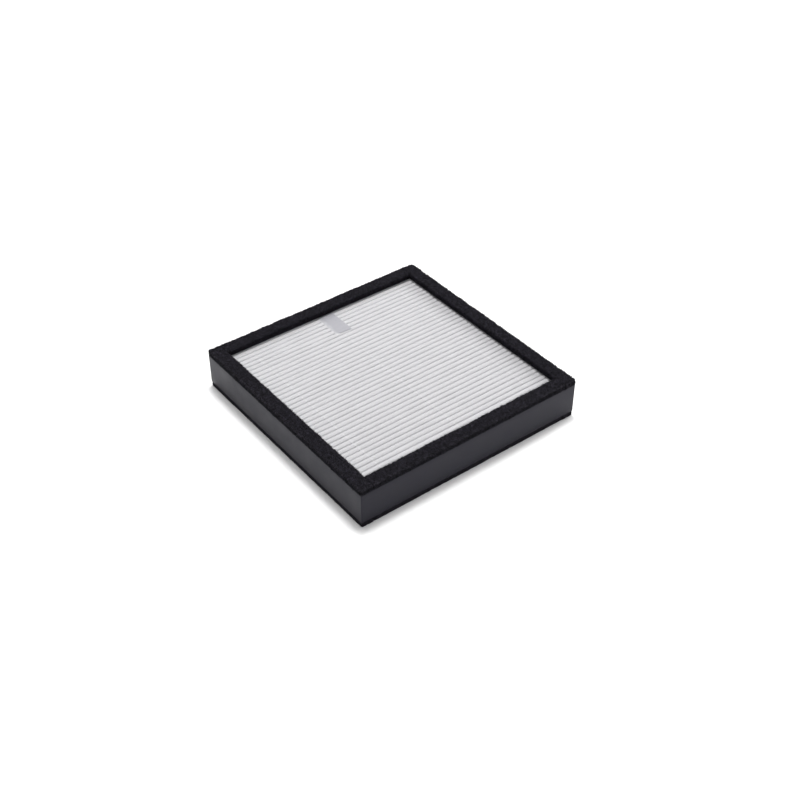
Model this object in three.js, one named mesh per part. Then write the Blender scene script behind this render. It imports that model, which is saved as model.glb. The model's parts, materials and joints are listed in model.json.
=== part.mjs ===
// Pleated panel filter cartridge of a bench-top solder fume extractor.
// Millimetres, +Z up. The origin is the centre of the base, on the face of the lower gasket.
// The pleats run along X and stand side by side along Y. Air passes through along Z.
import * as THREE from "three";

// Driving dimensions
const side = 200; // outer width and length of the square cartridge
const frameHeight = 26; // height of the rails between the two gaskets
const railWeb = 1.5; // thickness of a rail's outer wall
const railLip = 1; // thickness of a rail's turned-in lips
const lipReach = 10.4; // how far the lips reach in from the outer face
const mitreGap = 0.05; // half of the seam between two mitred rails
const foamThick = 3.8; // thickness of a gasket strip
const foamWidth = 10.7; // width of a gasket strip
const foamSeam = 0.1; // gap where two gasket strips butt together
const filmThick = 0.2; // double-sided adhesive film under each strip
const filmInset = 0.3; // how far the film stays back from the strip's edges
const pleatPitch = 4.8; // fold tip to fold tip
const pleatCount = 39; // upper fold tips
const sheetThick = 1.2; // thickness of the filter sheet
const foldRadius = 1.5; // radius of the sheet's middle line at a fold
const packClearance = 0.35; // from the fold tips to the lips
const packWidth = 192; // length of the pleats along X
const beadSpacing = 71; // between the hot-melt beads, along X
const beadWidth = 1.2; // along X
const beadRise = 0.1; // how far a bead stands over the fold tips
const beadDepth = 12; // how deep a bead's teeth reach into the folds
const beadGap = 0.05; // between a bead and the sheet
const keyThick = 1.2; // wall of a corner key
const keyLeg = 18; // length of a corner key's legs
const keyGap = 0.1; // between a corner key and its rails
const sealGap = 0.1; // between the side seals and the neighbouring pieces
const tabWidth = 15; // flattened hot-melt tab where the middle bead starts
const tabThick = 0.45;
const tabCentre = 2; // the tab's middle, along X
const tabStart = 61.6; // its near edge, along Y
const tabEnd = 89.4; // its far edge, just short of the lip
const tabRound = 4; // radius of its near left corner
const tabClip = 0.8; // clip at its near right corner

// Levels and half sizes that follow from them
const half = side / 2;
const height = frameHeight + 2 * (foamThick + filmThick);
const railBottom = foamThick + filmThick;
const railTop = railBottom + frameHeight;
const channelBottom = railBottom + railLip;
const channelTop = railTop - railLip;
const channelHalf = half - railWeb; // middle to the inside of a rail's wall
const packTop = channelTop - packClearance;
const packHalf = packWidth / 2;

// Folds: the high and low ones stand half a pitch apart, around circles of foldOuter
const halfPitch = pleatPitch / 2;
const foldOuter = foldRadius + sheetThick / 2;
const foldHigh = packTop - foldOuter;
const foldLow = height - foldHigh;
const foldDrop = foldHigh - foldLow;
// A flank touches the circles of two neighbouring folds from opposite sides, which sets its lean.
const fullDrop = Math.hypot(halfPitch, foldDrop);
const lean = Math.acos((2 * foldRadius) / fullDrop) - Math.atan2(foldDrop, halfPitch);

const plastic = new THREE.MeshStandardMaterial({ color: 0x3a3a3e, roughness: 0.4 });
const keyPlastic = new THREE.MeshStandardMaterial({ color: 0x4a4a4e, roughness: 0.6 });
const foam = new THREE.MeshStandardMaterial({ color: 0x141418, roughness: 0.95 });
const film = new THREE.MeshStandardMaterial({ color: 0x2b2b2c, roughness: 0.3 });
const filterSheet = new THREE.MeshStandardMaterial({ color: 0xececf0, roughness: 0.9 });
const hotMelt = new THREE.MeshStandardMaterial({ color: 0xe2e2e6, roughness: 0.4 });
const tabMelt = new THREE.MeshStandardMaterial({ color: 0xa8a8b0, roughness: 0.45 });

const cartridge = new THREE.Group();

// The sides of the square. turn is the angle that carries the back (+Y) side to each of them.
const sides = [
  { place: "back", turn: 0 },
  { place: "left", turn: Math.PI / 2 },
  { place: "front", turn: Math.PI },
  { place: "right", turn: -Math.PI / 2 },
];

function addPiece(name, geometry, material, turn = 0) {
  const piece = new THREE.Mesh(geometry, material);
  piece.name = name;
  piece.rotation.z = turn;
  cartridge.add(piece);
}

function extrude(points, depth) {
  const shape = new THREE.Shape(points.map(([x, y]) => new THREE.Vector2(x, y)));
  return new THREE.ExtrudeGeometry(shape, { depth, bevelEnabled: false });
}

// A flat outline in XY, raised from bottom to top.
function slab(points, bottom, top) {
  return extrude(points, top - bottom).translate(0, 0, bottom);
}

// An outline in YZ, carried along X for width around centre.
function alongX(points, width, centre = 0) {
  const cycleAxes = new THREE.Matrix4().set(0, 0, 1, 0, 1, 0, 0, 0, 0, 1, 0, 0, 0, 0, 0, 1);
  return extrude(points, width).applyMatrix4(cycleAxes).translate(centre - width / 2, 0, 0);
}

// The back rail: a channel that is open towards the middle. Each point's ends are cut back by its
// distance from the outer face, so that the four rails meet in mitres.
function railGeometry() {
  const lipEdge = half - lipReach;
  const channel = [
    [half, railBottom],
    [half, railTop],
    [lipEdge, railTop],
    [lipEdge, channelTop],
    [channelHalf, channelTop],
    [channelHalf, channelBottom],
    [lipEdge, channelBottom],
    [lipEdge, railBottom],
  ];
  const geometry = alongX(channel, side);
  const position = geometry.getAttribute("position");
  for (let i = 0; i < position.count; i++) {
    position.setX(i, Math.sign(position.getX(i)) * (position.getY(i) - mitreGap));
  }
  return geometry;
}

// An L that lies inside the meeting channels of two rails.
function addCornerKeys() {
  const outer = channelHalf - keyGap;
  const inner = outer - keyThick;
  const end = outer - keyLeg;
  const ell = [[outer, end], [outer, outer], [end, outer], [end, inner], [inner, inner], [inner, end]];
  const corners = ["back_right", "back_left", "front_left", "front_right"];
  corners.forEach((place, i) => {
    const key = slab(ell, channelBottom + keyGap, channelTop - keyGap);
    addPiece(`corner_key_${place}`, key, keyPlastic, (i * Math.PI) / 2);
  });
}

// The strips on the left and right run the whole length. Those at the back and front butt in between.
function addGaskets() {
  const strip = (runsThrough, inset) => {
    const end = (runsThrough ? half : half - foamWidth - foamSeam) - inset;
    const near = half - foamWidth + inset;
    const far = half - inset;
    return [[-end, near], [end, near], [end, far], [-end, far]];
  };
  const levels = [
    { level: "top", foamFrom: railTop + filmThick, filmFrom: railTop },
    { level: "bottom", foamFrom: 0, filmFrom: foamThick },
  ];
  for (const { level, foamFrom, filmFrom } of levels) {
    for (const { place, turn } of sides) {
      const runsThrough = place === "left" || place === "right";
      const body = slab(strip(runsThrough, 0), foamFrom, foamFrom + foamThick);
      const tape = slab(strip(runsThrough, filmInset), filmFrom, filmFrom + filmThick);
      addPiece(`gasket_${level}_${place}`, body, foam, turn);
      addPiece(`adhesive_${level}_${place}`, tape, film, turn);
    }
  }
}

function arc(y, z, radius, from, to, steps) {
  return Array.from({ length: steps + 1 }, (_, i) => {
    const angle = from + ((to - from) * i) / steps;
    return [y + radius * Math.cos(angle), z + radius * Math.sin(angle)];
  });
}

// How far a flank's face is from the middle of its low fold, at the height of the high folds.
function flankReach(offset) {
  return (foldRadius + offset) / Math.cos(lean) + foldDrop * Math.tan(lean);
}

// One face of the sheet from front to back, offset upwards from its middle line. A high fold gets
// the wider arc on the upper face, and a low fold on the lower face.
function sheetFace(offset) {
  const end = pleatCount * halfPitch + flankReach(-offset);
  const points = [[-end, foldHigh]];
  for (let i = -pleatCount; i <= pleatCount; i++) {
    const high = i % 2 === 0;
    const radius = foldRadius + (high ? offset : -offset);
    const steps = radius > foldRadius ? 4 : 2;
    if (high) points.push(...arc(i * halfPitch, foldHigh, radius, Math.PI - lean, lean, steps));
    else points.push(...arc(i * halfPitch, foldLow, radius, Math.PI + lean, 2 * Math.PI - lean, steps));
  }
  points.push([end, foldHigh]);
  return points;
}

function addFilterSheet() {
  const outline = [...sheetFace(sheetThick / 2), ...sheetFace(-sheetThick / 2).reverse()];
  addPiece("pleated_filter_sheet", alongX(outline, packWidth), filterSheet);
}

// A hot-melt bead is a comb in YZ: a low ridge over the fold tips, and a tooth down into the opening
// after each of them. The ridge's underside is half an octagon over each tip, and the teeth narrow
// with the flanks. The first and last teeth stand at the two fold numbers given.
function beadOutline(first, last) {
  const clear = foldOuter + beadGap;
  const shoulder = clear * Math.tan(Math.PI / 8);
  const toothTop = halfPitch - clear;
  const toothFoot = halfPitch - clear / Math.cos(lean) - beadDepth * Math.tan(lean);
  const foot = foldHigh - beadDepth;
  const ridge = packTop + beadRise;
  const start = first * halfPitch - toothTop;
  const end = last * halfPitch + toothTop;
  const points = [[end, foldHigh + shoulder], [end, ridge], [start, ridge], [start, foldHigh + shoulder]];
  for (let i = first; i <= last; i += 2) {
    const tooth = i * halfPitch;
    points.push([tooth - toothFoot, foot], [tooth + toothFoot, foot]);
    if (i === last) break;
    const tip = tooth + halfPitch;
    points.push(
      [tip - clear, foldHigh + shoulder],
      [tip - shoulder, foldHigh + clear],
      [tip + shoulder, foldHigh + clear],
      [tip + clear, foldHigh + shoulder],
    );
  }
  return points;
}

// Three beads lie over the pleats and three under them. The lower ones are the same shape upside
// down, half a pitch along. The upper middle one stops at the tab.
function addBeads() {
  const lastBeforeTab = 2 * Math.floor((tabStart / halfPitch - 1) / 2) + 1;
  const places = ["left", "middle", "right"];
  places.forEach((place, i) => {
    const x = (i - 1) * beadSpacing;
    const last = place === "middle" ? lastBeforeTab : pleatCount;
    const upper = beadOutline(-pleatCount, last);
    const lower = beadOutline(1 - pleatCount, pleatCount - 1).map(([y, z]) => [y, height - z]);
    addPiece(`bead_top_${place}`, alongX(upper, beadWidth, x), hotMelt);
    addPiece(`bead_bottom_${place}`, alongX(lower, beadWidth, x), hotMelt);
  });
}

// Hot melt that fills the channel between the pleats and a rail's wall, thinner beside the keys.
function addSideSeals() {
  const besideKey = channelHalf - keyGap - keyThick - sealGap;
  const keyEnd = channelHalf - keyGap - keyLeg - sealGap;
  // The pack is widest at its end flanks' tops, or at its last low folds where the flanks lean inwards.
  const packReach = pleatCount * halfPitch + Math.max(flankReach(sheetThick / 2), foldOuter) + sealGap;
  for (const { place, turn } of sides) {
    const acrossPleatEnds = place === "left" || place === "right";
    const near = acrossPleatEnds ? packHalf : packReach;
    const end = acrossPleatEnds ? packReach - sealGap : besideKey;
    const bed = [
      [-end, near],
      [end, near],
      [end, besideKey],
      [keyEnd, besideKey],
      [keyEnd, channelHalf],
      [-keyEnd, channelHalf],
      [-keyEnd, besideKey],
      [-end, besideKey],
    ];
    addPiece(`side_seal_${place}`, slab(bed, channelBottom + sealGap, channelTop - sealGap), hotMelt, turn);
  }
}

// A pressed-flat tab of hot melt on the fold tips, rounded at its near left corner.
function addTab() {
  const left = tabCentre - tabWidth / 2;
  const right = tabCentre + tabWidth / 2;
  const outline = [
    ...arc(left + tabRound, tabStart + tabRound, tabRound, Math.PI, 1.5 * Math.PI, 5),
    [right - tabClip, tabStart],
    [right, tabStart + tabClip],
    [right, tabEnd],
    [left, tabEnd],
  ];
  const under = packTop + beadGap;
  addPiece("hot_melt_tab", slab(outline, under, under + tabThick), tabMelt);
}

for (const { place, turn } of sides) addPiece(`rail_${place}`, railGeometry(), plastic, turn);
addCornerKeys();
addGaskets();
addFilterSheet();
addBeads();
addSideSeals();
addTab();

export default cartridge;
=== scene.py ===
import json
import math

import bpy
import numpy as np
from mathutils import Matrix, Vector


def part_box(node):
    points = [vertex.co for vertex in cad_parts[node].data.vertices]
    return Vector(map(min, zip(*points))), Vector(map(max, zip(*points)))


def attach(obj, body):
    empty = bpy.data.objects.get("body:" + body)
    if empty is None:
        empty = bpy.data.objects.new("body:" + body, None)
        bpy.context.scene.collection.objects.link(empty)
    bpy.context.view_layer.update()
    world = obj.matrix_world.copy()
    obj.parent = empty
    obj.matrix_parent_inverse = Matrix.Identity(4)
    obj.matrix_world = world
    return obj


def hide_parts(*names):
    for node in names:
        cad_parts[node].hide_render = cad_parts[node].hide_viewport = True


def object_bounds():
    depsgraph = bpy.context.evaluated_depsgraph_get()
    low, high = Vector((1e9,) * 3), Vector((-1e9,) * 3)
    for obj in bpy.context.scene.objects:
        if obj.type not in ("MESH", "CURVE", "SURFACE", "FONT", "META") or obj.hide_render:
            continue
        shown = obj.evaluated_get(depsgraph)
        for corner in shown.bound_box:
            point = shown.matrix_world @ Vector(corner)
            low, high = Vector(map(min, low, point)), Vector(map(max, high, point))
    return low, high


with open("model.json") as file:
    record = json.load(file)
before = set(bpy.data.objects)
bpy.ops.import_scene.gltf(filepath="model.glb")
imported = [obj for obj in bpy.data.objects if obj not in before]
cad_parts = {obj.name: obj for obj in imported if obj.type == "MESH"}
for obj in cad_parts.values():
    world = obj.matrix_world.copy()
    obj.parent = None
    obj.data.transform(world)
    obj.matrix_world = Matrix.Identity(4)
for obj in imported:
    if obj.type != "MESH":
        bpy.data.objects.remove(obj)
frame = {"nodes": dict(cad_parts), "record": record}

# A square pleated filter cartridge lying flat: a black channel frame, a ring of black foam on both
# faces, and a white folded sheet with hot-melt beads across its folds. Metres, +Z up.
# The folds run along X and stand side by side along Y.

mm = 0.001
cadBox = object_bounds()


# numbers that look random but are the same on each run

def cellNumber(cells, seed):
    # A number from 0 to 1 for each whole-number cell: the coordinates times large odd numbers, mixed
    # by shifts and products.
    mixed = cells[..., 0] * 73856093 ^ cells[..., 1] * 19349663 ^ cells[..., 2] * 83492791
    mixed = mixed ^ seed * 2654435761
    mixed = (mixed ^ mixed >> 13) & 0xFFFFFFFF
    mixed = mixed * 1274126177 & 0xFFFFFFFF
    return ((mixed ^ mixed >> 16) & 0xFFFFFF) / 0x1000000


def softNoise(points, size, seed):
    # Value noise from -1 to 1: the numbers at the eight corners of each point's cell, blended by
    # the smooth step 3t^2 - 2t^3 along each axis. size is the cell's width, one number or three.
    scaled = points / np.asarray(size)
    cell = np.floor(scaled).astype(np.int64)
    step = scaled - cell
    step = step * step * (3 - 2 * step)
    total = 0
    for corner in np.ndindex(2, 2, 2):
        weight = np.prod(np.where(np.array(corner) == 1, step, 1 - step), axis=-1)
        total = total + weight * cellNumber(cell + np.array(corner), seed)
    return 2 * total - 1


def cellDepth(points, size, seed):
    # How deep a point is inside a foam cell, from 0 on the wall between two cells to about 1 in the
    # middle: the distance to the second nearest of the points scattered one to a cell, less that to
    # the nearest.
    scaled = points / size
    cell = np.floor(scaled).astype(np.int64)
    nearest = np.full(points.shape[:-1], 9.0)
    second = nearest.copy()
    for offset in np.ndindex(3, 3, 3):
        other = cell + np.array(offset) - 1
        place = np.stack([cellNumber(other, seed + axis) for axis in range(3)], axis=-1)
        distance = np.sum((other + place - scaled) ** 2, axis=-1)
        second = np.minimum(second, np.maximum(nearest, distance))
        nearest = np.minimum(nearest, distance)
    return np.sqrt(second) - np.sqrt(nearest)


# meshes from arrays

def addPiece(name, points, quads, material, sharp=40, triangles=np.zeros((0, 3), int)):
    # Puts the points and faces into a mesh. Edges that turn more than sharp degrees stay hard.
    mesh = bpy.data.meshes.new(name)
    mesh.vertices.add(len(points))
    mesh.vertices.foreach_set("co", np.ascontiguousarray(points, np.float32).ravel())
    corners = np.concatenate([quads.ravel(), triangles.ravel()])
    starts = np.concatenate([np.arange(0, quads.size, 4), np.arange(quads.size, corners.size, 3)])
    mesh.loops.add(len(corners))
    mesh.loops.foreach_set("vertex_index", corners.astype(np.int32))
    mesh.polygons.add(len(starts))
    mesh.polygons.foreach_set("loop_start", starts.astype(np.int32))
    mesh.update(calc_edges=True)
    mesh.validate()
    mesh.shade_smooth()
    mesh.set_sharp_from_angle(angle=math.radians(sharp))
    mesh.materials.append(material)
    piece = bpy.data.objects.new(name, mesh)
    bpy.context.scene.collection.objects.link(piece)
    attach(piece, "root")
    return piece


def gridQuads(index):
    # The faces of a grid of point numbers, facing the side from which rows x columns is a right turn.
    faces = [index[:-1, :-1], index[1:, :-1], index[1:, 1:], index[:-1, 1:]]
    return np.stack(faces, axis=-1).reshape(-1, 4)


def closedPair(top, under):
    # Two grids of points, one over the other, joined round their four edges into one closed skin.
    rows, columns = top.shape[:2]
    count = rows * columns
    upper = np.arange(count).reshape(rows, columns)
    ring = np.concatenate([upper[0], upper[1:, -1], upper[-1, -2::-1], upper[-2:0:-1, 0]])
    following = np.roll(ring, -1)
    wall = np.stack([ring, following, following + count, ring + count], axis=-1)
    points = np.concatenate([top.reshape(-1, 3), under.reshape(-1, 3)])
    return points, np.concatenate([gridQuads(upper), gridQuads(upper + count)[:, ::-1], wall])


def blockSkin(counts):
    # The skin of a block of counts cells: the whole-number points of its six sides, each point once.
    faces = []
    for axis in range(3):
        one, two = (axis + 1) % 3, (axis + 2) % 3
        grid = np.zeros((counts[one] + 1, counts[two] + 1, 3), np.int64)
        grid[..., one] = np.arange(counts[one] + 1)[:, None]
        grid[..., two] = np.arange(counts[two] + 1)[None, :]
        for end in (0, counts[axis]):
            grid[..., axis] = end
            corners = np.stack([grid[:-1, :-1], grid[1:, :-1], grid[1:, 1:], grid[:-1, 1:]], axis=-2)
            corners = corners.reshape(-1, 4, 3)
            faces.append(corners if end else corners[:, ::-1])
    corners = np.concatenate(faces)
    spans = np.array(counts) + 1
    codes = (corners[..., 0] * spans[1] + corners[..., 1]) * spans[2] + corners[..., 2]
    unique, quads = np.unique(codes.ravel(), return_inverse=True)
    cells = [unique // (spans[1] * spans[2]), unique // spans[2] % spans[1], unique % spans[2]]
    return np.stack(cells, axis=-1), quads.reshape(-1, 4)


def quarterTurn(points, turns):
    # Turns points about Z by whole quarter turns, from the +Y side towards the -X side.
    cosine, sine = [(1, 0), (0, 1), (-1, 0), (0, -1)][turns % 4]
    turned = points.copy()
    turned[..., 0] = cosine * points[..., 0] - sine * points[..., 1]
    turned[..., 1] = sine * points[..., 0] + cosine * points[..., 1]
    return turned


def roundedLine(corners, radius, steps, straight):
    # An open line with an arc of radius at each inner corner, and straight points along each run.
    corners = np.array(corners, float)
    line = [corners[:1]]
    for before, at, after in zip(corners[:-2], corners[1:-1], corners[2:]):
        back = (before - at) / np.linalg.norm(before - at)
        ahead = (after - at) / np.linalg.norm(after - at)
        angle = np.linspace(0, math.pi / 2, steps + 1)[:, None]
        arc = at + radius * (back + ahead) - radius * (ahead * np.cos(angle) + back * np.sin(angle))
        line.append(np.linspace(line[-1][-1], arc[0], straight + 1)[1:-1])
        line.append(arc)
    line.append(np.linspace(line[-1][-1], corners[-1], straight + 1)[1:])
    return np.concatenate(line)


# material nodes

def newMaterial(name):
    # A material with its node tree, its main shader and the node socket for a point's own place.
    material = bpy.data.materials.new(name)
    material.use_nodes = True
    tree = material.node_tree
    place = tree.nodes.new("ShaderNodeTexCoord").outputs["Object"]
    return material, tree, tree.nodes["Principled BSDF"], place


def addNode(tree, kind, inputs=(), **settings):
    # A node with its settings, and its inputs as values or as sockets to link.
    node = tree.nodes.new(kind)
    for name, value in settings.items():
        setattr(node, name, value)
    for socket, value in dict(inputs).items():
        if isinstance(value, bpy.types.NodeSocket):
            tree.links.new(value, node.inputs[socket])
        else:
            node.inputs[socket].default_value = value
    return node


def noiseValue(tree, place, size, detail=2, stretch=(1, 1, 1), turn=0):
    # Noise with features about size metres wide, stretched along the axes and turned about Z.
    mapping = addNode(tree, "ShaderNodeMapping", {
        "Vector": place, "Scale": [1 / value for value in stretch], "Rotation": (0, 0, turn)})
    return addNode(tree, "ShaderNodeTexNoise", {
        "Vector": mapping.outputs["Vector"], "Scale": 1 / size, "Detail": detail,
    }).outputs["Fac"]


def toRange(tree, value, low, high, fromLow=0.3, fromHigh=0.7):
    # Carries fromLow to low and fromHigh to high. Noise lies mostly between 0.3 and 0.7.
    return addNode(tree, "ShaderNodeMapRange", {
        "Value": value, "From Min": fromLow, "From Max": fromHigh, "To Min": low, "To Max": high,
    }).outputs["Result"]


def blendColour(tree, factor, first, second):
    mix = addNode(tree, "ShaderNodeMix", {"Factor": factor}, data_type="RGBA")
    for socket, colour in ((6, first), (7, second)):
        if isinstance(colour, bpy.types.NodeSocket):
            tree.links.new(colour, mix.inputs[socket])
        else:
            mix.inputs[socket].default_value = (*colour, 1)
    return mix.outputs[2]


def addUp(tree, first, second, operation="ADD"):
    node = addNode(tree, "ShaderNodeMath", {0: first, 1: second}, operation=operation)
    return node.outputs["Value"]


def addBump(tree, shader, height, depth):
    bump = addNode(tree, "ShaderNodeBump", {"Height": height, "Distance": depth})
    tree.links.new(bump.outputs["Normal"], shader.inputs["Normal"])


# materials

framePlastic = {
    "dark": (0.0078, 0.0072, 0.0122), "light": (0.0112, 0.0104, 0.0172),
    "cloud": 14 * mm, "grain": 0.25 * mm, "drawLines": 0.6 * mm, "drawShare": 0.6,
    "roughness": (0.3, 0.4), "grainRoughness": 0.08, "specular": 0.195, "tint": (0.86, 0.84, 1, 1),
    "bump": 0.012 * mm,
}


def makeFramePlastic():
    # Cloudy satin black, with a fine grain and faint lines round the sides from the drawing die.
    material, tree, shader, place = newMaterial("satinBlackPlastic")
    cloud = noiseValue(tree, place, framePlastic["cloud"], 3)
    grain = noiseValue(tree, place, framePlastic["grain"], 3)
    drawn = noiseValue(tree, place, framePlastic["drawLines"], 2, stretch=(60, 60, 1))
    base = blendColour(tree, toRange(tree, cloud, 0, 1), framePlastic["dark"], framePlastic["light"])
    tree.links.new(base, shader.inputs["Base Color"])
    smooth, rough = framePlastic["roughness"]
    gloss = addUp(tree, toRange(tree, cloud, smooth, rough),
                  toRange(tree, grain, 0, framePlastic["grainRoughness"]))
    tree.links.new(gloss, shader.inputs["Roughness"])
    shader.inputs["Specular IOR Level"].default_value = framePlastic["specular"]
    shader.inputs["Specular Tint"].default_value = framePlastic["tint"]
    height = addUp(tree, grain, addUp(tree, drawn, framePlastic["drawShare"], "MULTIPLY"))
    addBump(tree, shader, height, framePlastic["bump"])
    return material


# pit and strut are painted shade and painted highlight for the foam's cells, and edge is a painted
# highlight along the upper outer edge.
foamLook = {"pit": (0.001, 0.001, 0.0015), "strut": (0.056, 0.0505, 0.072), "edge": (0.084, 0.077, 0.1),
            "cell": 0.85 * mm, "bend": 0.5 * mm, "bendDepth": 0.25 * mm, "fine": 0.18 * mm,
            "patch": 2.6 * mm, "wallReach": (0.02, 0.15), "fineLow": 0.45, "patchLow": 0.35,
            "edgeWidth": 1.5 * mm, "roughness": 0.9, "specular": 0.15, "bump": 0.16 * mm}


def makeFoam():
    # Paler struts round dark pits: painted highlight on the struts and painted shade in the pits.
    # The pattern is the distance to the walls of scattered cells, bent a little and broken up by fine
    # noise and by larger patches.
    material, tree, shader, place = newMaterial("openCellFoam")
    bent = addNode(tree, "ShaderNodeTexNoise", {
        "Vector": place, "Scale": 1 / foamLook["bend"], "Detail": 2})
    shifted = addNode(tree, "ShaderNodeVectorMath", {
        0: bent.outputs["Color"], 1: (foamLook["bendDepth"],) * 3}, operation="MULTIPLY")
    moved = addNode(tree, "ShaderNodeVectorMath", {
        0: place, 1: shifted.outputs["Vector"]}, operation="ADD")
    cells = addNode(tree, "ShaderNodeTexVoronoi", {
        "Vector": moved.outputs["Vector"], "Scale": 1 / foamLook["cell"]}, feature="DISTANCE_TO_EDGE")
    wall = toRange(tree, cells.outputs["Distance"], 1, 0, *foamLook["wallReach"])
    fine = noiseValue(tree, place, foamLook["fine"], 3)
    patch = noiseValue(tree, place, foamLook["patch"], 3)
    strut = addUp(tree, wall, toRange(tree, fine, foamLook["fineLow"], 1), "MULTIPLY")
    shade = addUp(tree, strut, toRange(tree, patch, foamLook["patchLow"], 1), "MULTIPLY")
    # painted highlight: the struts along the upper outer edge are made paler, where the cut edge catches
    # the light
    axes = addNode(tree, "ShaderNodeSeparateXYZ", {"Vector": place}).outputs
    acrossX, acrossY = (addUp(tree, axes[name], 0, "ABSOLUTE") for name in "XY")
    outward = addUp(tree, acrossX, acrossY, "MAXIMUM")
    outer = toRange(tree, outward, 0, 1, cadBox[1].x - foamLook["edgeWidth"], cadBox[1].x)
    upper = toRange(tree, axes["Z"], 0, 1, cadBox[1].z - foamLook["edgeWidth"], cadBox[1].z)
    edge = addUp(tree, outer, upper, "MULTIPLY")
    struts = blendColour(tree, edge, foamLook["strut"], foamLook["edge"])
    tree.links.new(blendColour(tree, shade, foamLook["pit"], struts), shader.inputs["Base Color"])
    shader.inputs["Roughness"].default_value = foamLook["roughness"]
    shader.inputs["Specular IOR Level"].default_value = foamLook["specular"]
    addBump(tree, shader, addUp(tree, wall, addUp(tree, fine, 0.5, "MULTIPLY")), foamLook["bump"])
    return material


# flank is a painted light colour, paler than the sheet, laid on the flanks down between the fold tips.
sheetLook = {"white": (0.48, 0.477, 0.49), "grey": (0.44, 0.437, 0.45), "flank": (0.80, 0.797, 0.81),
             "fibreTint": (0.56, 0.557, 0.57), "fibre": 0.16 * mm, "fibreShare": 0.35,
             "cloud": 9 * mm, "fluff": 1.1 * mm, "tipDepth": (0.5 * mm, 1.4 * mm), "bump": 0.05 * mm,
             "roughness": 0.85, "specular": 0.3, "ridge": 0.05,
             "fibreTurns": ((0.3, 9), (-0.5, 7), (1.2, 8), (2.2, 6))}  # turn in radians, stretch


def makeFilterSheet():
    # Fibres are the thin ridges of stretched noise, where it crosses its middle value, at several
    # turns. The flanks are paler than the fold tips: painted light that softens the dark lines of shade
    # between them.
    material, tree, shader, place = newMaterial("nonWovenSheet")
    fibres = None
    for turn, stretch in sheetLook["fibreTurns"]:
        noise = noiseValue(tree, place, sheetLook["fibre"], 1, stretch=(stretch, 1, 1), turn=turn)
        middle = addUp(tree, addUp(tree, noise, 0.5, "SUBTRACT"), 0, "ABSOLUTE")
        ridge = toRange(tree, middle, 1, 0, 0, sheetLook["ridge"])
        fibres = ridge if fibres is None else addUp(tree, fibres, ridge, "MAXIMUM")
    cloud = noiseValue(tree, place, sheetLook["cloud"], 4, stretch=(1.6, 1, 1))
    fluff = noiseValue(tree, place, sheetLook["fluff"], 3)
    tone = addUp(tree, toRange(tree, cloud, 0, 0.6), toRange(tree, fluff, 0, 0.4))
    base = blendColour(tree, tone, sheetLook["grey"], sheetLook["white"])
    shown = addUp(tree, fibres, sheetLook["fibreShare"], "MULTIPLY")
    lit = blendColour(tree, shown, base, sheetLook["fibreTint"])
    low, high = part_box("pleated_filter_sheet")
    level = addNode(tree, "ShaderNodeSeparateXYZ", {"Vector": place}).outputs["Z"]
    fromMiddle = addUp(tree, addUp(tree, level, (low.z + high.z) / 2, "SUBTRACT"), 0, "ABSOLUTE")
    reach = (high.z - low.z) / 2
    nearTip, farTip = sheetLook["tipDepth"]
    # painted light: below the fold tips the colour turns to the pale flank colour, lifting the shade
    # between the folds
    flank = toRange(tree, fromMiddle, 1, 0, reach - farTip, reach - nearTip)
    tree.links.new(blendColour(tree, flank, lit, sheetLook["flank"]), shader.inputs["Base Color"])
    shader.inputs["Roughness"].default_value = sheetLook["roughness"]
    shader.inputs["Specular IOR Level"].default_value = sheetLook["specular"]
    addBump(tree, shader, addUp(tree, fibres, addUp(tree, fluff, 1.5, "MULTIPLY")), sheetLook["bump"])
    return material


meltLook = {"dull": (0.48, 0.478, 0.49), "milky": (0.52, 0.518, 0.53), "cloud": 3 * mm,
            "ripple": 0.7 * mm, "roughness": (0.3, 0.45), "bump": 0.05 * mm}


def makeHotMelt():
    # Cloudy white with a soft gloss that varies over its ripples.
    material, tree, shader, place = newMaterial("milkyHotMelt")
    cloud = noiseValue(tree, place, meltLook["cloud"], 3)
    ripple = noiseValue(tree, place, meltLook["ripple"], 2)
    base = blendColour(tree, toRange(tree, cloud, 0, 1), meltLook["dull"], meltLook["milky"])
    tree.links.new(base, shader.inputs["Base Color"])
    tree.links.new(toRange(tree, ripple, *meltLook["roughness"]), shader.inputs["Roughness"])
    addBump(tree, shader, ripple, meltLook["bump"])
    return material


tabLook = {"grey": (0.275, 0.273, 0.297), "thin": (0.445, 0.442, 0.46),
           "fade": 3.4 * mm, "fadeFrom": 0.4, "fadeTo": 1.6,
           "cloud": 2.5 * mm, "ripple": 1.2 * mm, "roughness": (0.42, 0.55), "bump": 0.04 * mm}


def makeTabMelt():
    # Grey where the tab is thick, paling over the last few millimetres of its left side.
    material, tree, shader, place = newMaterial("pressedHotMelt")
    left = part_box("hot_melt_tab")[0].x
    across = addNode(tree, "ShaderNodeSeparateXYZ", {"Vector": place}).outputs["X"]
    cloud = noiseValue(tree, place, tabLook["cloud"], 4)
    ripple = noiseValue(tree, place, tabLook["ripple"], 2)
    ragged = addUp(tree, across, addUp(tree, cloud, tabLook["fade"], "MULTIPLY"))
    thick = toRange(tree, ragged, 0, 1, left + tabLook["fadeFrom"] * tabLook["fade"],
                    left + tabLook["fadeTo"] * tabLook["fade"])
    tree.links.new(blendColour(tree, thick, tabLook["thin"], tabLook["grey"]), shader.inputs["Base Color"])
    tree.links.new(toRange(tree, ripple, *tabLook["roughness"]), shader.inputs["Roughness"])
    addBump(tree, shader, ripple, tabLook["bump"])
    return material


filmLook = {"dark": (0.006, 0.006, 0.006), "light": (0.014, 0.014, 0.015), "grain": 0.4 * mm,
            "roughness": (0.3, 0.5)}


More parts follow.
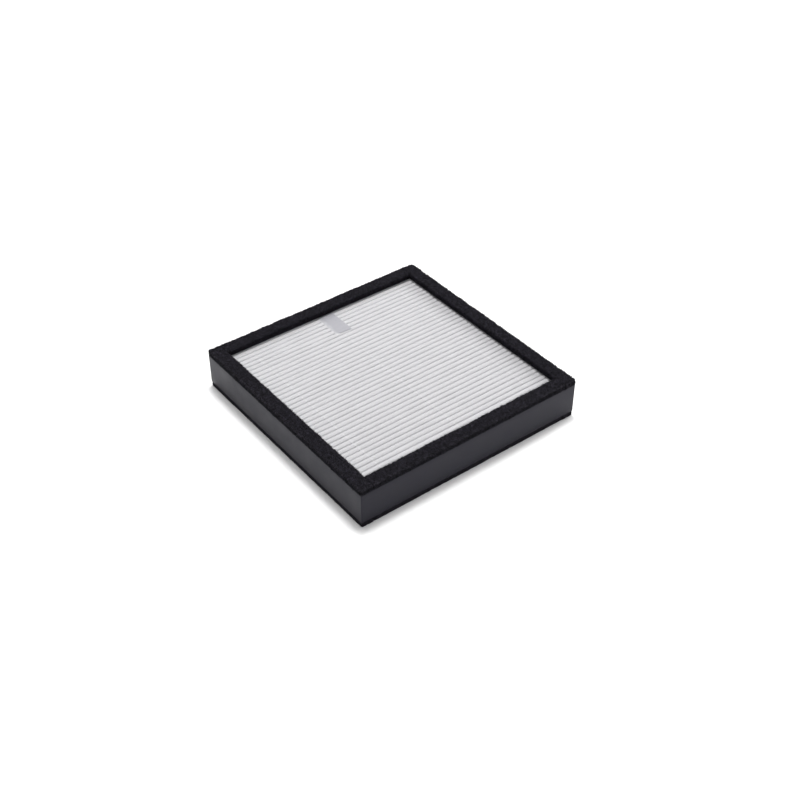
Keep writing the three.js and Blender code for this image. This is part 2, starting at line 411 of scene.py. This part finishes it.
def makeFilm():
    # Near black, with a fine grain in its colour and its gloss.
    material, tree, shader, place = newMaterial("adhesiveFilm")
    grain = noiseValue(tree, place, filmLook["grain"], 3)
    base = blendColour(tree, toRange(tree, grain, 0, 1), filmLook["dark"], filmLook["light"])
    tree.links.new(base, shader.inputs["Base Color"])
    tree.links.new(toRange(tree, grain, *filmLook["roughness"]), shader.inputs["Roughness"])
    return material


plastic, foam, filterSheet = makeFramePlastic(), makeFoam(), makeFilterSheet()
hotMelt, tabMelt, film = makeHotMelt(), makeTabMelt(), makeFilm()
nodeMaterials = {
    "frame_plastic": plastic, "key_plastic": plastic, "gasket_foam": foam, "adhesive_film": film,
    "filter_sheet": filterSheet, "hot_melt": hotMelt, "tab_melt": tabMelt,
}
for part in frame["record"]["subparts"]:
    frame["nodes"][part["node"]].data.materials.clear()
    frame["nodes"][part["node"]].data.materials.append(nodeMaterials[part["material_slot"]])
print("materials made:", len(nodeMaterials))


# the frame's rails

rail = {"wall": 1.5 * mm, "lip": 1 * mm, "edgeRadius": 0.4 * mm, "insideRadius": 0.6 * mm,
        "cornerRadius": 0.5 * mm, "mitreGap": 0.05 * mm}
sides = ["back", "left", "front", "right"]  # each a quarter turn on from the one before


def makeRails():
    # The channel's outer and inner outline, carried along X. Each point runs out as far as it stands
    # from the middle, so the ends are mitres, and the upright corner is drawn in onto a small arc.
    low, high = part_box("rail_back")
    outer = roundedLine([(low.y, high.z), (high.y, high.z), (high.y, low.z), (low.y, low.z)],
                        rail["edgeRadius"], 6, 6)
    wall, lip = high.y - rail["wall"], rail["lip"]
    top, bottom = high.z - lip, low.z + lip
    inner = roundedLine([(low.y, top), (wall, top), (wall, bottom), (low.y, bottom)],
                        rail["insideRadius"], 6, 6)
    nearEnd = np.array([0, 0.06, 0.12, 0.2, 0.3, 0.42, 0.56, 0.75, 1.0, 2, 6, 14, 26, 40, 60, 80]) * mm
    fromEnd = np.concatenate([nearEnd, [high.y]])
    start = high.y - rail["cornerRadius"]

    def carried(line):
        # the outline repeated at each place along the rail, with the upright corners drawn in
        reach = line[:, 0] - rail["mitreGap"]
        along = reach[None, :] - fromEnd[:, None] * (reach / high.y)[None, :]
        along = np.concatenate([-along, along[-2::-1]])
        outward, level = np.broadcast_arrays(line[None, :, 0], line[None, :, 1], along)[:2]
        points = np.stack([along, outward, level], axis=-1)
        past = np.stack([np.abs(points[..., 0]) - start, points[..., 1] - start], axis=-1)
        length = np.linalg.norm(past, axis=-1)
        corner = (past.min(axis=-1) > 0) & (length > rail["cornerRadius"])
        pull = np.where(corner, rail["cornerRadius"] / np.maximum(length, 1e-9), 1)
        drawnIn = np.sign(points[..., 0]) * (start + past[..., 0] * pull)
        points[..., 0] = np.where(corner, drawnIn, points[..., 0])
        points[..., 1] = np.where(corner, start + past[..., 1] * pull, points[..., 1])
        return points

    points, quads = closedPair(carried(outer), carried(inner))
    for turns, side in enumerate(sides):
        turned = quarterTurn(points, turns)
        piece = addPiece(f"channelRail_{side}", turned, quads, plastic)
        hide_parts(f"rail_{side}")


makeRails()
print("rails made")


# the foam ring

gasket = {
    "spacing": {"top": 0.32 * mm, "bottom": 0.4 * mm}, "torn": {"top": 1, "bottom": 0.4},
    "edgeRadius": 0.8 * mm, "buttRadius": 0.12 * mm, "cornerRadius": 1.6 * mm, "drawIn": 0.2 * mm,
    "drawInLength": 19 * mm, "waver": 0.4 * mm, "waverLength": 26 * mm, "waverShort": 7 * mm,
    "swell": 0.12 * mm, "swellLength": 9 * mm, "proud": 0.8 * mm,
    "cell": 1.3 * mm, "pit": 0.6 * mm, "crumb": 0.45 * mm, "crumbLength": 0.75 * mm,
    "heave": 0.13 * mm, "heaveLength": 4.5 * mm, "tuft": 0.3 * mm, "tuftLength": 1.2 * mm,
    "strutsPerSquare": {"top": 3.4, "bottom": 1.2}, "strutLength": 1.3 * mm,
    "strutWidth": 0.28 * mm, "strutRoot": 0.3 * mm, "strutLean": 0.75, "strutShortest": 0.35,
}


def cutStruts(points, normal, count, torn, seed):
    # The cut ends of the foam's struts: thin pyramids on a three-sided foot, rooted under the skin and
    # leaning up to half a right angle away from the skin's own direction.
    number = np.stack([np.arange(count), np.full(count, seed), np.zeros(count, int)], axis=-1)
    chosen = (cellNumber(number, 1) * len(points)).astype(int)
    lean = np.stack([cellNumber(number, axis + 2) for axis in range(3)], axis=-1) * 2 - 1
    way = normal[chosen] + gasket["strutLean"] * lean
    way /= np.maximum(np.linalg.norm(way, axis=-1, keepdims=True), 1e-6)
    side = np.cross(way, lean[:, ::-1] + (0.3, 0.1, 0.2))
    side /= np.linalg.norm(side, axis=-1, keepdims=True)
    other = np.cross(way, side)
    shortest = gasket["strutShortest"]
    share = shortest + (1 - shortest) * cellNumber(number, 6)
    long = share[:, None] * gasket["strutLength"] * torn
    foot = points[chosen] - gasket["strutRoot"] * normal[chosen]
    corners = [foot + gasket["strutWidth"] / 2 * (math.cos(turn) * side + math.sin(turn) * other)
               for turn in (0, 2 * math.pi / 3, 4 * math.pi / 3)]
    tips = foot + way * (long + gasket["strutRoot"])
    struts = np.stack([*corners, tips], axis=1).reshape(-1, 3)
    first = 4 * np.arange(count)[:, None]
    faces = np.concatenate([first + face for face in ([2, 1, 0], [0, 1, 3], [1, 2, 3], [2, 0, 3])])
    return struts, faces


def makeGasket(node, seed):
    # A block with rounded edges: each skin point is taken back to the block without its edge radius and
    # then out again by that radius, which also gives the direction that the foam's pits go in.
    low, high = (np.array(corner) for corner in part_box(node))
    size = high - low
    along = int(size[1] > size[0])
    across = 1 - along
    outward = np.sign(low[across] + high[across])
    level = "top" if "top" in node else "bottom"
    torn = gasket["torn"][level]
    counts = np.round(size / gasket["spacing"][level]).astype(int)
    cells, quads = blockSkin(counts)
    points = low + size * cells / counts
    outerFace = high[across] if outward > 0 else -low[across]
    runsThrough = size[along] > 0.95 * 2 * outerFace
    radius = np.full(3, gasket["edgeRadius"])
    radius[along] = gasket["edgeRadius"] if runsThrough else gasket["buttRadius"]
    core = np.clip(points, low + radius, high - radius)
    normal = (points - core) / radius
    normal /= np.linalg.norm(normal, axis=-1, keepdims=True)
    points = core + radius * normal

    # the ends of the strips that run through have round outer corners, and the others' ends stay flat
    if not runsThrough:
        normal[:, along] = 0
    else:
        start = outerFace - gasket["cornerRadius"]
        past = np.stack([np.abs(points[:, along]) - start, outward * points[:, across] - start], axis=-1)
        corner = past.min(axis=-1) > 0
        pull = past.max(axis=-1) / np.maximum(np.linalg.norm(past, axis=-1), 1e-9)
        for axis, sign, part in ((along, np.sign(points[:, along]), 0), (across, outward, 1)):
            points[:, axis] = np.where(corner, sign * (start + past[:, part] * pull), points[:, axis])

    # the cut inner edge wanders, and the outer face and the top draw in a little
    inside = (outerFace - outward * points[:, across]) / size[across]
    line = np.zeros_like(points)
    line[:, 0] = points[:, along]
    slow = softNoise(line, gasket["waverLength"], seed)
    wander = 0.7 * slow + 0.3 * softNoise(line, gasket["waverShort"], seed + 1)
    pinch = 0.5 + 0.5 * softNoise(line, gasket["drawInLength"], seed + 2)
    drawIn = outward * gasket["drawIn"] * pinch * (1 - inside)
    points[:, across] += gasket["waver"] * wander * inside - drawIn
    if level == "top":
        rise = (points[:, 2] - low[2]) / size[2]
        spread = gasket["swellLength"]
        ease = 0.5 + 0.5 * softNoise(points, (spread, spread, 1), seed + 3)
        points[:, 2] -= gasket["swell"] * rise * ease

    pits = np.clip(1.7 * cellDepth(points, gasket["cell"], seed + 4), 0, 1) ** 0.8
    crumbs = 0.5 + 0.5 * softNoise(points, gasket["crumbLength"], seed + 9)
    heave = gasket["heave"] * softNoise(points, gasket["heaveLength"], seed + 12)
    heave = heave + gasket["tuft"] * softNoise(points, gasket["tuftLength"], seed + 15)
    heave = heave + gasket["proud"] - gasket["pit"] * pits - gasket["crumb"] * crumbs
    points = points + normal * (torn * heave)[:, None]
    count = int(gasket["strutsPerSquare"][level] * 2 * size[along] * (size[across] + size[2]) / mm ** 2)
    struts, triangles = cutStruts(points, normal, count, torn, seed)
    triangles = triangles + len(points)
    points = np.concatenate([points, struts])
    points[:, 2] = np.maximum(points[:, 2], 0)
    name = node.replace("gasket", "foamStrip")
    piece = addPiece(name, points, quads, foam, 180, triangles)
    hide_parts(node)


for level in ("top", "bottom"):
    for turns, side in enumerate(sides):
        makeGasket(f"gasket_{level}_{side}", 40 * turns + (7 if level == "top" else 300))
print("foam strips made")


# the folded sheet

sheet = {
    "pitch": 4.8 * mm, "folds": 39, "thick": 0.5 * mm, "foldWide": 1.86 * mm, "foldTall": 0.72 * mm,
    "arcSteps": 8, "flankSteps": 2, "stations": 62,
    "sway": 0.22 * mm, "swaySize": (33 * mm, 7 * mm, 16 * mm),
    "lift": 0.1 * mm, "liftSize": (21 * mm, 4.5 * mm, 30 * mm),
}
sheetLow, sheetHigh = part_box("pleated_filter_sheet")
foldHigh = sheetHigh.z - sheet["thick"] / 2 - sheet["foldTall"]
foldLow = sheetLow.z + sheet["thick"] / 2 + sheet["foldTall"]
halfPitch = sheet["pitch"] / 2
# How far a flank leans outwards for each step down, from one fold's widest point to the next one's.
flankSlope = (halfPitch - 2 * sheet["foldWide"]) / (foldHigh - foldLow)


def middleLine():
    # The sheet's middle line in YZ and the direction of its upper side: half an ellipse at each fold,
    # high and low by turns, with a straight flank between their widest points. The last flank at each
    # end stops at the height of the high folds.
    number = np.arange(-sheet["folds"], sheet["folds"] + 1)[:, None]
    side = np.where(number % 2 == 0, 1, -1)
    turn = np.linspace(-1, 1, sheet["arcSteps"] + 1)[None, :] * math.pi / 2
    across, rise = np.sin(turn) + 0 * side, np.cos(turn) * side
    centre = np.where(side > 0, foldHigh, foldLow)
    wide, tall = sheet["foldWide"], sheet["foldTall"]
    arcs = np.stack([number * halfPitch + wide * across, centre + tall * rise], axis=-1)
    normal = np.stack([tall * across, wide * rise], axis=-1) * side[..., None]
    normal /= np.linalg.norm(normal, axis=-1, keepdims=True)
    share = np.arange(1, sheet["flankSteps"])[None, :, None] / sheet["flankSteps"]
    flanks = arcs[:-1, -1:] * (1 - share) + arcs[1:, :1] * share
    flankNormal = np.repeat(normal[:-1, -1:], sheet["flankSteps"] - 1, axis=1)
    body = np.concatenate([arcs[:-1], flanks], axis=1).reshape(-1, 2)
    bodyNormal = np.concatenate([normal[:-1], flankNormal], axis=1).reshape(-1, 2)
    line = np.concatenate([body, arcs[-1]])
    lineNormal = np.concatenate([bodyNormal, normal[-1]])
    # the two end flanks, stepped up from the first and last low fold
    rise = np.linspace(1, 0, 4)[:-1, None]
    climb = (foldHigh - foldLow) * np.array([[-flankSlope, 1]]) * rise
    line = np.concatenate([line[0] + climb, line, line[-1] + climb[::-1] * (-1, 1)])
    ends = (np.repeat(lineNormal[:1], 3, 0), np.repeat(lineNormal[-1:], 3, 0))
    lineNormal = np.concatenate([ends[0], lineNormal, ends[1]])
    return line, lineNormal


def packFlutter(points):
    # The small sway and rise of the whole pack, the same for the sheet and for what is glued to it.
    sway = softNoise(points, sheet["swaySize"], 5) * sheet["sway"]
    lift = softNoise(points, sheet["liftSize"], 8) * sheet["lift"]
    return points + np.stack([np.zeros_like(sway), sway, lift], axis=-1)


def makeSheet():
    # The middle line moved half a thickness to each side, carried along X and closed at its edges.
    line, normal = middleLine()
    along = np.linspace(sheetLow.x, sheetHigh.x, sheet["stations"])[:, None]
    faces = []
    for offset in (sheet["thick"] / 2, -sheet["thick"] / 2):
        y, z = (line + normal * offset).T
        faces.append(np.stack(np.broadcast_arrays(along, y[None, :], z[None, :]), axis=-1))
    points, quads = closedPair(*(packFlutter(face) for face in faces))
    piece = addPiece("foldedSheet", points, quads, filterSheet, sharp=60)
    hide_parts("pleated_filter_sheet")


makeSheet()


# hot-melt beads

bead = {"gap": 0.05 * mm, "arcSteps": 6, "acrossSteps": 8, "share": 0.9, "edge": 0.25 * mm,
        "dip": 0.9 * mm, "lower": 0.22 * mm, "wander": 0.18 * mm, "wanderLength": 17 * mm,
        "swell": 0.14, "swellLength": 5 * mm, "crown": 0.96}


def makeBead(node, seed):
    # A comb: the under side goes over each fold tip in an arc and down into the opening after it, and
    # the upper side follows the tips in a shallow wave. A lower bead is made the right way up, then
    # mirrored.
    low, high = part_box(node)
    below = "bottom" in node
    wide = sheet["foldWide"] + sheet["thick"] / 2 + bead["gap"]
    tall = sheet["foldTall"] + sheet["thick"] / 2 + bead["gap"]
    proud = sheetLow.z - low.z if below else high.z - sheetHigh.z
    depth = high.z - low.z - proud - (sheetHigh.z - foldHigh)
    toothTop = halfPitch - wide
    toothFoot = toothTop - depth * flankSlope
    count = round((high.y - low.y - 2 * toothTop) / sheet["pitch"])
    teeth = low.y + toothTop + sheet["pitch"] * np.arange(count + 1)[:, None]
    foot = np.array([[-toothTop, 0], [-toothFoot, -depth], [toothFoot, -depth], [toothTop, 0]])
    angle = np.linspace(math.pi, 0, bead["arcSteps"] + 1)[1:-1]
    over = np.stack([halfPitch + wide * np.cos(angle), tall * np.sin(angle)], axis=-1)
    unit = np.concatenate([foot, over])
    y = (teeth + unit[None, :, 0]).reshape(-1)[: -len(over)]
    z = np.broadcast_to(unit[None, :, 1], (count + 1, len(unit))).reshape(-1)[: -len(over)]
    ridge = sheetHigh.z - foldHigh + proud - bead["lower"]
    wave = 0.5 - 0.5 * np.cos(2 * math.pi * (y - teeth[0, 0] + halfPitch) / sheet["pitch"])
    u = np.linspace(-1, 1, bead["acrossSteps"] + 1)[:, None]
    line = np.stack([y, 0 * y, 0 * y], axis=-1)
    drift = bead["wander"] * softNoise(line, bead["wanderLength"], seed)
    width = 1 + bead["swell"] * softNoise(line, bead["swellLength"], seed + 1)
    halfWide = bead["share"] * (high.x - low.x) / 2
    x = (low.x + high.x) / 2 + drift[None, :] + u * halfWide * width[None, :]
    crown = bead["edge"] * (1 - np.sqrt(1 - bead["crown"] * u ** 2))
    upper = foldHigh + ridge - bead["dip"] * wave[None, :] - crown
    lower = foldHigh + z[None, :] + 0 * u
    faces = (np.stack(np.broadcast_arrays(x, y[None, :], level), axis=-1) for level in (upper, lower))
    points, quads = closedPair(*faces)
    if below:
        points[:, 2] = sheetHigh.z + sheetLow.z - points[:, 2]
        quads = quads[:, ::-1]
    name = node.replace("bead", "glueBead")
    piece = addPiece(name, packFlutter(points), quads, hotMelt, sharp=50)
    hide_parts(node)


for number, place in enumerate(("left", "middle", "right")):
    makeBead(f"bead_top_{place}", 500 + 20 * number)
    makeBead(f"bead_bottom_{place}", 600 + 20 * number)
print("beads made")


# the pressed tab

tab = {"round": 4 * mm, "clip": 1.2 * mm, "spacing": 0.35 * mm, "edge": 0.35 * mm,
       "edgeWidth": 1.2 * mm, "sink": 0.8 * mm, "sinkLength": 3.6 * mm, "sag": 0.12 * mm,
       "puddle": 0.05 * mm, "puddleLength": 3 * mm, "under": 0.05 * mm, "skin": 0.06 * mm}


def makeTab():
    # Rows along Y, each drawn in at its ends by the corner arcs. The upper side falls away at the edges
    # and sags a little between the fold tips that it lies on.
    low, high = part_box("hot_melt_tab")
    rows = np.arange(0, high.y - low.y, tab["spacing"])
    rows = np.append(rows, high.y - low.y)

    def drawnIn(radius):
        # how far a corner arc draws the end of each row in
        within = np.clip(radius - rows, 0, radius)
        return radius - np.sqrt(radius ** 2 - within ** 2)

    left = low.x + drawnIn(tab["round"])
    right = high.x - drawnIn(tab["clip"])
    share = np.linspace(0, 1, round((high.x - low.x) / tab["spacing"]) + 1)[:, None]
    x = left + share * (right - left)
    y = np.broadcast_to(low.y + rows, x.shape)
    flat = np.stack([x, y, np.zeros_like(x)], axis=-1)
    rim = np.minimum(right - x, rows[None, :])
    fall = tab["edge"] * np.clip(1 - rim / tab["edgeWidth"], 0, 1) ** 2
    sink = tab["sink"] * np.clip(1 - (x - left) / tab["sinkLength"], 0, 1) ** 1.5
    sag = tab["sag"] * (0.5 - 0.5 * np.cos(2 * math.pi * y / sheet["pitch"]))
    puddle = tab["puddle"] * softNoise(flat, tab["puddleLength"], 21)
    top = flat.copy()
    top[..., 2] = high.z - tab["skin"] - fall - sink - sag + puddle
    under = flat.copy()
    under[..., 2] = low.z - tab["under"] - sink - sag
    points, quads = closedPair(top, under)
    piece = addPiece("pressedTab", packFlutter(points), quads, tabMelt, sharp=70)
    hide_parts("hot_melt_tab")


makeTab()
print("tab made")


# floor, light and camera

room = {"distance": 1.6, "skyStrength": 0.28, "floorHalf": 4, "floorDrop": 0.05 * mm,
        "floorTone": 0.97, "floorRoughness": 0.95, "floorSpecular": 0.1}


def makeStudio():
    # A plain matt floor just under the part.
    half = room["floorHalf"]
    points = np.array([(-half, -half, 0), (half, -half, 0), (half, half, 0), (-half, half, 0)], float)
    points -= (0, 0, room["floorDrop"])
    mesh = bpy.data.meshes.new("studioFloor")
    mesh.from_pydata(points.tolist(), [], [(0, 1, 2, 3)])
    floor = bpy.data.objects.new("studioFloor", mesh)
    bpy.context.scene.collection.objects.link(floor)
    material, _, shader, _ = newMaterial("palePaper")
    shader.inputs["Base Color"].default_value = (*(room["floorTone"],) * 3, 1)
    shader.inputs["Roughness"].default_value = room["floorRoughness"]
    shader.inputs["Specular IOR Level"].default_value = room["floorSpecular"]
    mesh.materials.append(material)


lamps = {
    "rightKey": {"turn": 0, "rise": 25, "size": 0.9, "power": 18.0},
    "backRight": {"turn": 45, "rise": 25, "size": 0.9, "power": 5.6},
    "highBack": {"turn": 90, "rise": 55, "size": 0.9, "power": 8.1},
    "overhead": {"turn": 45, "rise": 83, "size": 0.35, "power": 17.5},
    "leftFill": {"turn": 225, "rise": 55, "size": 0.9, "power": 3.8},
}


def makeLamps():
    # Square lamps on a ball round the object, turn degrees round from +X and rise degrees up.
    for name, lamp in lamps.items():
        light = bpy.data.lights.new(name, "AREA")
        light.energy, light.size = lamp["power"], lamp["size"]
        item = bpy.data.objects.new(name, light)
        turn, rise = math.radians(lamp["turn"]), math.radians(lamp["rise"])
        way = (math.cos(rise) * math.cos(turn), math.cos(rise) * math.sin(turn), math.sin(rise))
        item.location = [room["distance"] * part for part in way]
        item.rotation_euler = (-item.location).to_track_quat("-Z", "Y").to_euler()
        bpy.context.scene.collection.objects.link(item)
    world = bpy.data.worlds.new("whiteRoom")
    world.use_nodes = True
    world.node_tree.nodes["Background"].inputs["Color"].default_value = (1, 1, 1, 1)
    world.node_tree.nodes["Background"].inputs["Strength"].default_value = room["skyStrength"]
    bpy.context.scene.world = world


view = {"place": (-0.45611, -0.60593, 0.62069), "heading": 52.409, "down": 39.315,
        "lens": 56.64, "sensor": 36}


def makeCamera():
    # heading is the turn of the line of sight from +X, and down is how far it dips, in degrees.
    camera = bpy.data.objects.new("camera", bpy.data.cameras.new("camera"))
    camera.data.sensor_width = view["sensor"]
    camera.data.lens = view["lens"]
    camera.location = view["place"]
    camera.rotation_euler = (math.radians(90 - view["down"]), 0, math.radians(view["heading"] - 90))
    bpy.context.scene.collection.objects.link(camera)
    bpy.context.scene.camera = camera


makeStudio()
makeLamps()
makeCamera()
bpy.context.scene.view_settings.view_transform = "Standard"
